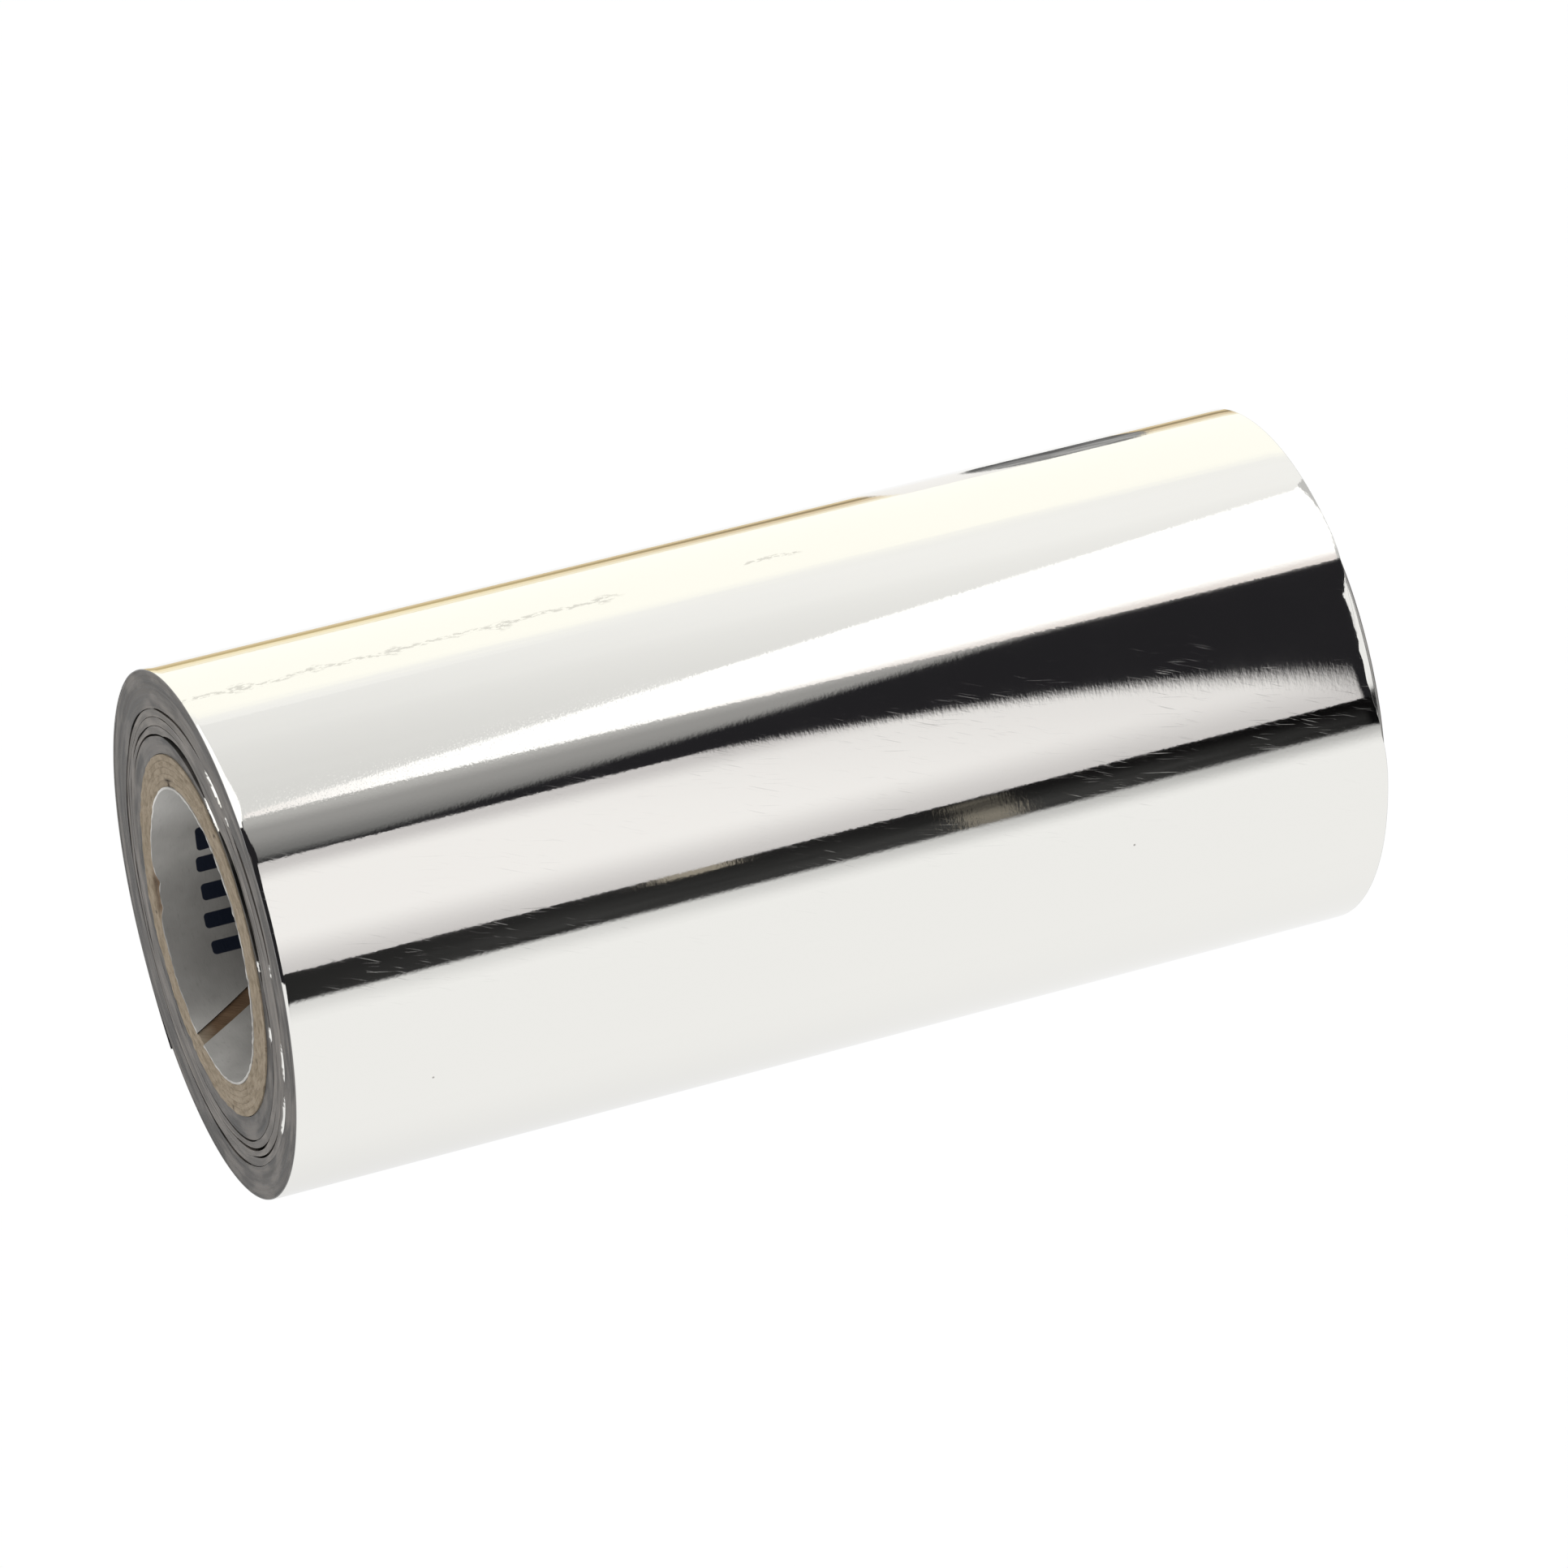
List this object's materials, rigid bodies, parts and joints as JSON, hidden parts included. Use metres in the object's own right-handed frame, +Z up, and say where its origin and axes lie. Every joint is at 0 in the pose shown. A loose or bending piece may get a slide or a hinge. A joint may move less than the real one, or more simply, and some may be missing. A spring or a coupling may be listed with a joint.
{
  "type": "metallised film roll",
  "caption": "Roll of mirror-bright metallised film wound on a spiral paperboard core, lying on its side, with its free end loose at the back.",
  "frame": {"origin": "on the axis of the core's bore, halfway along the roll", "axes": "+X along the bore, +Z up with the roll lying on its side, free end of the film at the back, on the +Y side"},
  "size_m": [0.1, 0.0461, 0.0461],
  "materials": {
    "mirror_film": "polished",
    "wound_film": "satin",
    "core_board": "matte",
    "liner_paper": "matte",
    "adhesive_strip": "satin"
  },
  "bodies": {
    "roll": {"core_liner": "liner_paper", "board_ply_1": "core_board", "board_ply_2": "core_board", "board_ply_3": "core_board", "board_ply_4": "core_board", "board_ply_5": "core_board", "starter_strip": "adhesive_strip", "film_first_turns": "wound_film", "film_loose_turns_1": "wound_film", "film_loose_turns_2": "wound_film", "film_loose_turns_3": "wound_film", "film_tight_turns": "wound_film", "film_last_turn": "mirror_film"},
    "tail_1": {"film_tail_1": "mirror_film"},
    "tail_2": {"film_tail_2": "mirror_film"},
    "tail_3": {"film_tail_3": "mirror_film"},
    "tail_4": {"film_tail_4": "mirror_film"}
  },
  "joints": [
    {"name": "peel_1", "type": "hinge", "parent": "roll", "child": "tail_1", "pos_m": [0, 0.01915, 0.01292], "axis": [1, 0, 0], "range_deg": [0, 24], "stiffness_Nm_per_rad": 0.0005},
    {"name": "peel_2", "type": "hinge", "parent": "tail_1", "child": "tail_2", "pos_m": [0, 0.02276, 0.00401], "axis": [1, 0, 0], "range_deg": [0, 24], "stiffness_Nm_per_rad": 0.0005},
    {"name": "peel_3", "type": "hinge", "parent": "tail_2", "child": "tail_3", "pos_m": [0, 0.02244, -0.00559], "axis": [1, 0, 0], "range_deg": [0, 24], "stiffness_Nm_per_rad": 0.0005},
    {"name": "peel_4", "type": "hinge", "parent": "tail_3", "child": "tail_4", "pos_m": [0, 0.01823, -0.01424], "axis": [1, 0, 0], "range_deg": [0, 24], "stiffness_Nm_per_rad": 0.0005}
  ],
  "couplings": [
    {"joint": "peel_2", "follows": "peel_1", "ratio": 1},
    {"joint": "peel_3", "follows": "peel_1", "ratio": 1},
    {"joint": "peel_4", "follows": "peel_1", "ratio": 1}
  ]
}
